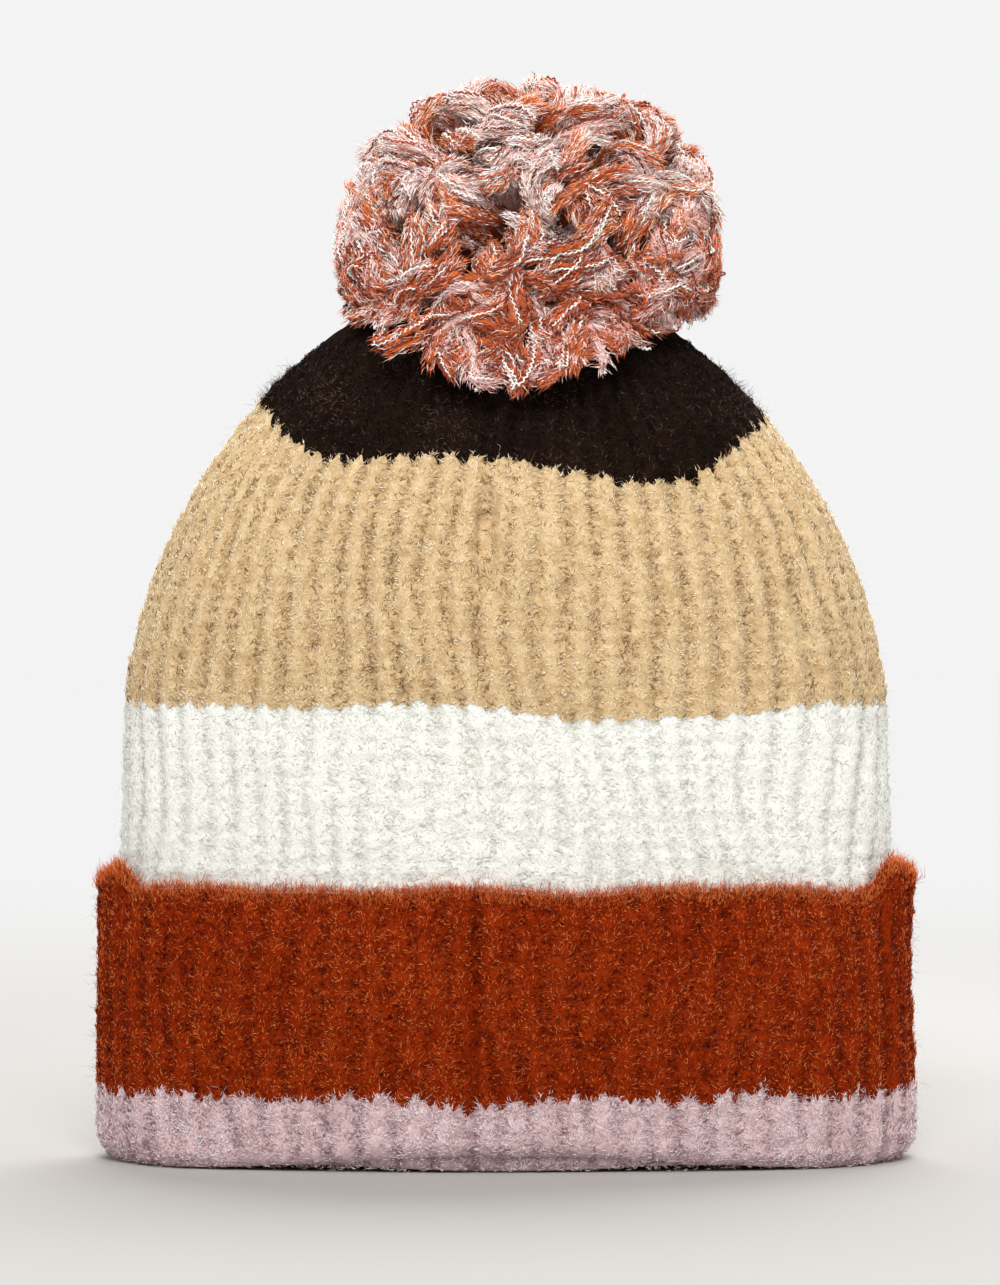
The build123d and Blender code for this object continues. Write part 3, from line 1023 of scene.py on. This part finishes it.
def lower_paths():
    """Strands under the ball: they start at the tie, cross the crown and curl round its edge."""
    rng = np.random.default_rng(31)
    angles, heights, insets, kinds = [], [], [], []
    bend = np.clip((T - 0.4) / 0.6, 0, 1)
    for i in range(LOWER_CLUMPS):
        middle = 2 * math.pi * ((i * 0.381966) % 1.0)
        lowest = lower_edge(middle)
        level = lowest + (LOWER_TOP - lowest) * rng.random() ** 1.2
        heading = math.pi * rng.integers(0, 2) + rng.normal(0, 0.5)
        reach = rng.uniform(8, 20)
        curl = rng.normal(0, 1.2)
        strands = int(rng.integers(3, 6))
        base_kind = rng.choice(3, p=LOWER_SHARES)
        for k in range(strands):
            across = (k - (strands - 1) / 2) * 2.5 + rng.normal(0, 0.8)
            own_curl = curl * bend + rng.normal(0, 0.3)
            own_reach = reach * rng.uniform(0.8, 1.15)
            along, rise = curled(heading, own_curl, own_reach, across, bend)
            height = LOWER_START + (level + rise - LOWER_START) * smooth(T, 0.3, 0.62)
            angles.append(middle + along / 50)
            floor = lower_edge(angles[-1]) + rng.uniform(-2.5, 4.0)
            heights.append(floor + np.abs(height - floor))
            insets.append(rng.uniform(-1.0, 5.0) * (1 - 0.3 * bend))
            kinds.append(base_kind if rng.random() < OWN_KIND else rng.choice(3, p=LOWER_SHARES))
    angle, height, inset = np.array(angles), np.array(heights), np.array(insets)
    over = swept_radius(angle, height) + STRAND_RADIUS + 0.6
    shift = POM_CENTRE[0] * np.cos(angle)
    ball = ball_radius(angle, height) + shift - inset - STRAND_RADIUS
    skirt = SKIRT_RADIUS * np.abs(np.sin(angle)) ** 1.5 - inset
    edge = np.maximum(np.maximum(ball, skirt), over + (5.0 - inset) * 0.55)
    radius = 5.5 + (edge - 5.5) * (1 - (1 - np.clip(T / 0.62, 0, 1)) ** 1.6)
    points = np.stack([radius * np.cos(angle), radius * np.sin(angle), height], -1)
    return clear_of_crown(points, STRAND_RADIUS + 0.5), np.array(kinds)


def outer_halves(paths, count, extra):
    """Evenly spaced points from the middle of each path to a little past its tip, and lengths."""
    steps = np.linalg.norm(np.diff(paths, axis=1), axis=2)
    run = np.concatenate([np.zeros((len(paths), 1)), np.cumsum(steps, axis=1)], axis=1)
    out = np.empty((len(paths), count, 3))
    lengths = np.empty(len(paths))
    for i, path in enumerate(paths):
        total = run[i, -1]
        at = np.linspace(0.5 * total, total + extra[i], count)
        for axis in range(3):
            out[i, :, axis] = np.interp(at, run[i], path[:, axis])
        out[i] += unit(path[-1] - path[-3]) * np.clip(at - total, 0, None)[:, None]
        lengths[i] = at[-1] - at[0]
    return out, lengths


def threads(name, body, paths, colours, seed, clear):
    """Thin crimped threads that run along the outside of strands and poke out at the ends."""
    rng = np.random.default_rng(seed)
    total = len(paths)
    line, length = outer_halves(paths, THREAD_POINTS, rng.uniform(0.5, 4.0, total))
    _, normal, binormal = frames(line)
    off = unit(unit(line - POM_CENTRE) + normal * rng.normal(0, 0.9, total)[:, None, None])
    thin = smooth(np.linspace(1, 0, THREAD_POINTS), 0.0, 0.2)[None, :, None] * 0.9 + 0.1
    line = line + off * (STRAND_RADIUS + 0.45) * thin
    along = np.linspace(0, 1, THREAD_POINTS)[None, :] * length[:, None]
    phase = 2 * np.pi * along / CRIMP_LENGTH + rng.uniform(0, 6, total)[:, None]
    phase = phase + 1.2 * np.sin(along / 3.1 + rng.uniform(0, 6, total)[:, None])
    wander = np.sin(along / 2.3 + rng.uniform(0, 6, total)[:, None])
    swing = 0.32 * rng.uniform(0.5, 1.3, total)[:, None]
    line = line + binormal * (swing * np.sin(phase) + 0.6 * wander)[..., None]
    line = line + normal * (0.2 * np.cos(phase * 0.97))[..., None]
    if clear:
        line = clear_of_crown(line, 0.8)
    radii = THREAD_RADIUS * rng.uniform(0.75, 1.25, total)[:, None]
    slots = rng.integers(0, len(colours), total)
    made = []
    for piece_name, own in in_parts(name, total, PIECE_THREADS):
        points, faces, each = tubes(line[own], radii[own], 3)
        face_slots = np.concatenate([np.repeat(slots[own], each), slots[own], slots[own]])
        piece = mesh_object(piece_name, points, faces, colours, face_slots)
        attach(piece, body)
        made.append(piece)
    return made


def strand_cores(name, body, paths, material):
    """The soft strands themselves, thick in the middle and drawn in at both ends."""
    shape = (0.35 + 0.65 * smooth(T, 0.0, 0.45)) * (1 - 0.75 * smooth(T, 0.84, 1.0))
    rng = np.random.default_rng(len(paths))
    radii = 0.54 * STRAND_RADIUS * rng.uniform(0.8, 1.15, len(paths))[:, None] * shape[None, :]
    points, faces, _ = tubes(paths, radii, 6)
    piece = mesh_object(name, points, faces, [material])
    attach(piece, body)
    return piece


def strand_fuzz(name, body, paths, weights, tints, count, seed, clear):
    """Fine fibres combed along strands, some more thickly covered than others."""
    rng = np.random.default_rng(seed)
    count = int(count * FIBRE_SHARE)
    tangent, normal, binormal = frames(paths)
    i = rng.choice(len(paths), count, p=weights / weights.sum())
    place = 0.35 + 0.65 * rng.random(count) ** 0.8
    at = place * (STRAND_POINTS - 1)
    j = np.minimum(at.astype(int), STRAND_POINTS - 2)
    share = (at - j)[:, None]
    centre = paths[i, j] * (1 - share) + paths[i, j + 1] * share
    angle = rng.uniform(0, 2 * np.pi, count)[:, None]
    out = np.cos(angle) * normal[i, j] + np.sin(angle) * binormal[i, j]
    shape = (1 - 0.6 * smooth(place, 0.84, 1.0))[:, None]
    roots = centre + out * STRAND_RADIUS * shape * rng.uniform(0.55, 1.05, count)[:, None]
    along = tangent[i, j] + np.cross(tangent[i, j], out) * rng.normal(0, 0.26, count)[:, None]
    along = unit(along + out * rng.uniform(-0.1, 0.26, count)[:, None])
    size = rng.uniform(2.0, 5.0, count)[:, None]
    tips = roots + along * size
    if clear:
        keep = (least_gap(tips, [(0, 0)]) > 0.3) & (least_gap(roots, [(0, 0)]) > 0.3)
        roots, tips, size, i = roots[keep], tips[keep], size[keep], i[keep]
    bend = rng.normal(0, 0.1, roots.shape) * size
    radii = rng.uniform(0.11, 0.20, len(roots))
    strand_tone = rng.random(len(paths))
    pick = np.clip(strand_tone[i] * 0.5 + rng.random(len(roots)) * 0.6, 0, 0.999)
    slots = (pick * len(tints)).astype(int)
    return fibre_pieces(name, body, roots, tips, radii, bend, slots, tints)


def pom():
    """The ball, which leans, and the tufts under it, which turn with the tie but don't lean."""
    paths, kinds = strand_paths()
    rng = np.random.default_rng(5)
    leans = [(0, 0)] + [(i * LEAN_LIMIT, j * LEAN_LIMIT) for i in (-1, 1) for j in (-1, 1)]
    ball = least_gap(paths[:, 6:], leans).min(axis=1) > STRAND_RADIUS * 0.5
    for prefix, body, (lines, kind_of), fibres in (
        ("pom", "pom", (paths[ball], kinds[ball]), 150000),
        ("lower", "pom_tie", lower_paths(), 66000),
    ):
        lower = prefix == "lower"
        total = len(lines)
        for k, kind in enumerate(KINDS):
            knit = KNIT[f"pom_{kind}"]
            core = strand_cores(f"{prefix}_{kind}_strands", body, lines[kind_of == k], knit)
            weights = np.where(kind_of == k, 1.0, BLEND_SHARE)
            # Painted shade: the tufts under the ball leave out their two lightest fibre tints
            tints = FIBRES[f"pom_{kind}"][: -2 if lower else None]
            number = fibres * weights.sum() / total / (1 + 2 * BLEND_SHARE)
            soft_name = f"{prefix}_{kind}_fuzz"
            soft = strand_fuzz(soft_name, body, lines, weights, tints, number, 40 + k, lower)
            if not lower:
                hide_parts(f"pom_{kind}_yarn")
            elif kind == "lilac":
                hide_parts("lower_pom_tufts")
        order = rng.permutation(total)
        half, most = lines[order[: total // 2]], lines[order[int(0.3 * total) :]]
        for yarn, along, tints, seed in (
            ("white", half, FIBRES["white"][1:4], 61),
            ("brown", most, FIBRES["thread"], 62),
        ):
            name = f"{prefix}_{yarn}_threads"
            made = threads(name, body, along, tints, seed, lower)
        if not lower:
            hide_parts("pom_brown_yarn")


pom()

# ---- seams and the tie


def yarn_piece(name, cad, body, paths, radius, yarns=("tie",)):
    """Plain yarn along one or more paths, in place of a CAD node."""
    points, faces, _ = tubes(np.array(paths), radius, 10)
    piece = mesh_object(name, points, faces, [KNIT[yarn] for yarn in yarns])
    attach(piece, body)
    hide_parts(cad)
    return piece


def plied(path, radius, pitch):
    """Paths of the two plies that make up one twisted yarn."""
    _, normal, binormal = frames(path[None])
    steps = np.linalg.norm(np.diff(path, axis=0), axis=1)
    turn = np.concatenate([[0], np.cumsum(steps)])[:, None] * 2 * np.pi / pitch
    ways = [np.cos(a) * normal[0] + np.sin(a) * binormal[0] for a in (turn, turn + np.pi)]
    return [path + radius * way for way in ways]


def wound_knot(low, high, yarn, turns):
    """One long yarn wound over and over into a knot that fills a box."""
    rng = np.random.default_rng(turns)
    centre, half = (low + high) / 2, (high - low) / 2 - yarn
    t = np.linspace(0, 2 * np.pi * turns, turns * 26)
    tilt = t / (2 * np.pi * turns) * np.pi * rng.uniform(1.6, 2.2)
    ring = np.stack([np.cos(t), np.sin(t) * np.cos(tilt), np.sin(t) * np.sin(tilt)], -1)
    depth = 1 - 0.12 * (0.5 + 0.5 * np.sin(t * 0.37 + rng.uniform(0, 6)))
    return centre + ring * half * depth[:, None]


def coil(centre, radius, low, high, turns):
    """A yarn wound round and round between two heights."""
    t = np.linspace(0, 2 * np.pi * turns, turns * 30 + 1)
    z = low + (high - low) * t / t[-1]
    return np.stack([centre[0] + radius * np.cos(t), centre[1] + radius * np.sin(t), z], -1)


def seam_yarn(surface, low, high, sunk):
    """Sewing yarn that zigzags up the groove of the seam."""
    z = np.linspace(low, high, int((high - low) / STITCH_HEIGHT * 8))
    sway = 0.45 * np.sin(z * 2 * np.pi / STITCH_HEIGHT) / GIRTH
    point, normal = surface(SEAM_SHARE + sway, z)
    return point - normal * sunk


def make_seams():
    """The stitches that close the cuff and the body, in the colour of each stripe they cross."""
    edges = (rust_edge, tan_edge, crown_edge)
    rust_low, tan_low, brown_low = (float(edge(np.array([SEAM_SHARE]))[0]) for edge in edges)
    low = max(node_box("cuff_seam_yarn")[0][2] + 6.0, rust_low)
    path = seam_yarn(cuff_surface, low, CUFF_TOP - 7.5, 0.35)
    yarn_piece("cuff_seam_stitches", "cuff_seam_yarn", "hat", [path], 0.5, ["rust"])
    low, high = node_box("body_seam_yarn")
    path = seam_yarn(body_surface, low[2], high[2], 0.45)
    yarns = ["white", "tan", "brown"]
    seam = yarn_piece("body_seam_stitches", "body_seam_yarn", "hat", [path], 0.42, yarns)
    for face in seam.data.polygons:
        height = face.center.z / MM
        face.material_index = int(height > tan_low) + int(height > brown_low)


def make_tie():
    """The yarn that gathers the crown, and the knots, turns, tails and loop that hold the pom."""
    low, high = node_box("crown_gather_yarn")
    t = np.linspace(0, 2 * np.pi, 145)
    radius = high[0] - 1.2
    z = (low[2] + high[2]) / 2 + 0.5 * np.sin(12 * t)
    ring = plied(np.stack([radius * np.cos(t), radius * np.sin(t), z], -1), 0.5, 4.0)
    yarn_piece("crown_gathering", "crown_gather_yarn", "hat", ring, 0.6, ["brown"])
    for name, body, yarn, turns in (
        ("inside_knot", "pom_tie", 0.8, 11),
        ("shank_knot", "pom_shank", 0.6, 9),
    ):
        path = wound_knot(*node_box(name), yarn, turns)
        yarn_piece(name + "_wound", name, body, [path], yarn)
    low, high = node_box("tie_wrap")
    path = coil((low + high) / 2, high[0] - 0.6, low[2] + 0.6, high[2] - 0.5, 2)
    yarn_piece("tie_wrap_turns", "tie_wrap", "pom_tie", [path], 0.55)
    for name in ("tie_tail_left", "tie_tail_right"):
        low, high = node_box(name)
        x, y, _ = (low + high) / 2
        z = np.linspace(low[2] + 0.4, high[2] - 0.4, 90)
        wave = 0.25 * np.sin((z - low[2]) * 0.35)
        path = np.stack([np.full_like(z, x), y + wave, z], -1)
        yarn_piece(name + "_plied", name, "pom_tie", plied(path, 0.34, 2.6), 0.42)
    outer = BINDING_HIGH[1] - 0.9
    low, high = BINDING_LOW[2] + 0.9, BINDING_HIGH[2] - 0.9
    layers = [coil(POM_CENTRE, outer - 1.3 * k, low, high, 5) for k in range(3)]
    yarn_piece("pom_binding_turns", "pom_binding", "pom", layers, 0.85)
    low, high = node_box("pom_hanging_loop")
    t = np.linspace(0, 2 * np.pi, 80)
    share = (0.5 - 0.5 * np.cos(t))[:, None]
    start = np.array([low[0] + 1.0, 0.0, low[2] + 0.9])
    end = np.array([high[0] - 1.0, 0.0, high[2] + 1.0])
    path = start * (1 - share) + end * share
    path[:, 1] += (high[1] - 0.55) * np.sin(t)
    yarn_piece("pom_hanging_loop_plied", "pom_hanging_loop", "pom", plied(path, 0.26, 2.2), 0.3)


make_seams()
make_tie()

# ---- stage, light and camera


def floor():
    """A wide pale round floor with painted shade, darker near the hat and paler far off, where it meets
    the pale air.
    """
    radii = [0.4, 0.8, 1.6, 3.0, 6.0]
    spokes = 64
    angle = np.arange(spokes) * 2 * np.pi / spokes
    ring = np.stack([np.cos(angle), np.sin(angle), np.zeros(spokes)], -1)
    points = np.concatenate([[[0.0, 0.0, 0.0]]] + [ring * r for r in radii])
    k = 1 + np.arange(spokes)
    k2 = 1 + (k % spokes)
    faces = [np.stack([np.zeros(spokes, int), k, k2], -1)]
    for start in range(0, spokes * (len(radii) - 1), spokes):
        band = [start + k, start + spokes + k, start + spokes + k2, start + k2]
        faces.append(np.stack(band, -1))
    mat, tree, shader, where = new_material("floor_paint")
    set_values(shader, Roughness=0.9, Specular_IOR_Level=0.0)
    distance = node(tree, "ShaderNodeVectorMath", operation="LENGTH")
    tree.links.new(where, distance.inputs[0])
    # Painted shade: the floor is darker and warmer near the hat, fading to its far colour by 1.6 m
    shade_fade_far_off = eased(tree, distance.outputs["Value"], 0.2, 1.6)
    colour = mix_colour(tree, shade_fade_far_off, (0.565, 0.55, 0.53, 1), (0.622, 0.622, 0.622, 1))
    tree.links.new(colour, shader.inputs["Base Color"])
    mesh_object("floor", points / MM, faces, [mat])


def eased(tree, value, low, high):
    """0 below low, 1 above high, and smooth between, as nodes."""
    return remap(tree, value, interpolation_type="SMOOTHSTEP", From_Min=low, From_Max=high)


def pale_air():
    """Pale light from all round, dimmer from overhead."""
    world = bpy.data.worlds.new("studio")
    bpy.context.scene.world = world
    world.use_nodes = True
    tree = world.node_tree
    where = tree.nodes.new("ShaderNodeTexCoord").outputs["Generated"]
    split = tree.nodes.new("ShaderNodeSeparateXYZ")
    tree.links.new(where, split.inputs[0])
    overhead = eased(tree, split.outputs["Z"], 0.10, 0.55)
    colour = mix_colour(tree, overhead, (0.90, 0.90, 0.90, 1), (0.36, 0.36, 0.36, 1))
    tree.links.new(colour, tree.nodes["Background"].inputs["Color"])


def lamp(name, kind, energy, towards, **settings):
    """A lamp on the side that towards points to, shining back along it."""
    data = bpy.data.lights.new(name, kind)
    data.energy = energy
    for key, value in settings.items():
        setattr(data, key, value)
    ob = link(bpy.data.objects.new(name, data))
    ob.rotation_mode = "QUATERNION"
    ob.rotation_quaternion = Vector(towards).to_track_quat("Z", "Y")
    return ob


floor()
pale_air()
lamp("back_light", "SUN", 2.5, (0.15, 0.8, 1.0), angle=math.radians(45.0))
lamp("key_light", "SUN", 2.2, (0.05, -1.5, 1.05), angle=math.radians(22.0))

# A soft spotlight that lifts the pom, the brightest part of the hat
SPOT_PLACE = Vector((-0.2, -1.15, 0.92))
spot = lamp(
    "pom_light",
    "SPOT",
    92.0,
    SPOT_PLACE - Vector((POM_CENTRE + [0, 0, 14]) * MM),
    spot_size=math.radians(8.5),
    spot_blend=0.6,
    shadow_soft_size=0.15,
)
spot.location = SPOT_PLACE

VIEW_HEIGHT = 0.3455
CAMERA_DISTANCE = 2.0
CAMERA_TILT = math.radians(1.0)
camera_data = bpy.data.cameras.new("camera")
camera_data.sensor_width = 36.0
camera_data.lens = 36.0 * CAMERA_DISTANCE / VIEW_HEIGHT
camera = link(bpy.data.objects.new("camera", camera_data))
target = Vector((-0.0016, 0, 0.1386))
back = Vector((0, -math.cos(CAMERA_TILT), math.sin(CAMERA_TILT)))
camera.location = target + back * CAMERA_DISTANCE
camera.rotation_mode = "QUATERNION"
camera.rotation_quaternion = (-back).to_track_quat("-Z", "Y")
bpy.context.scene.camera = camera
bpy.context.scene.view_settings.view_transform = "Standard"
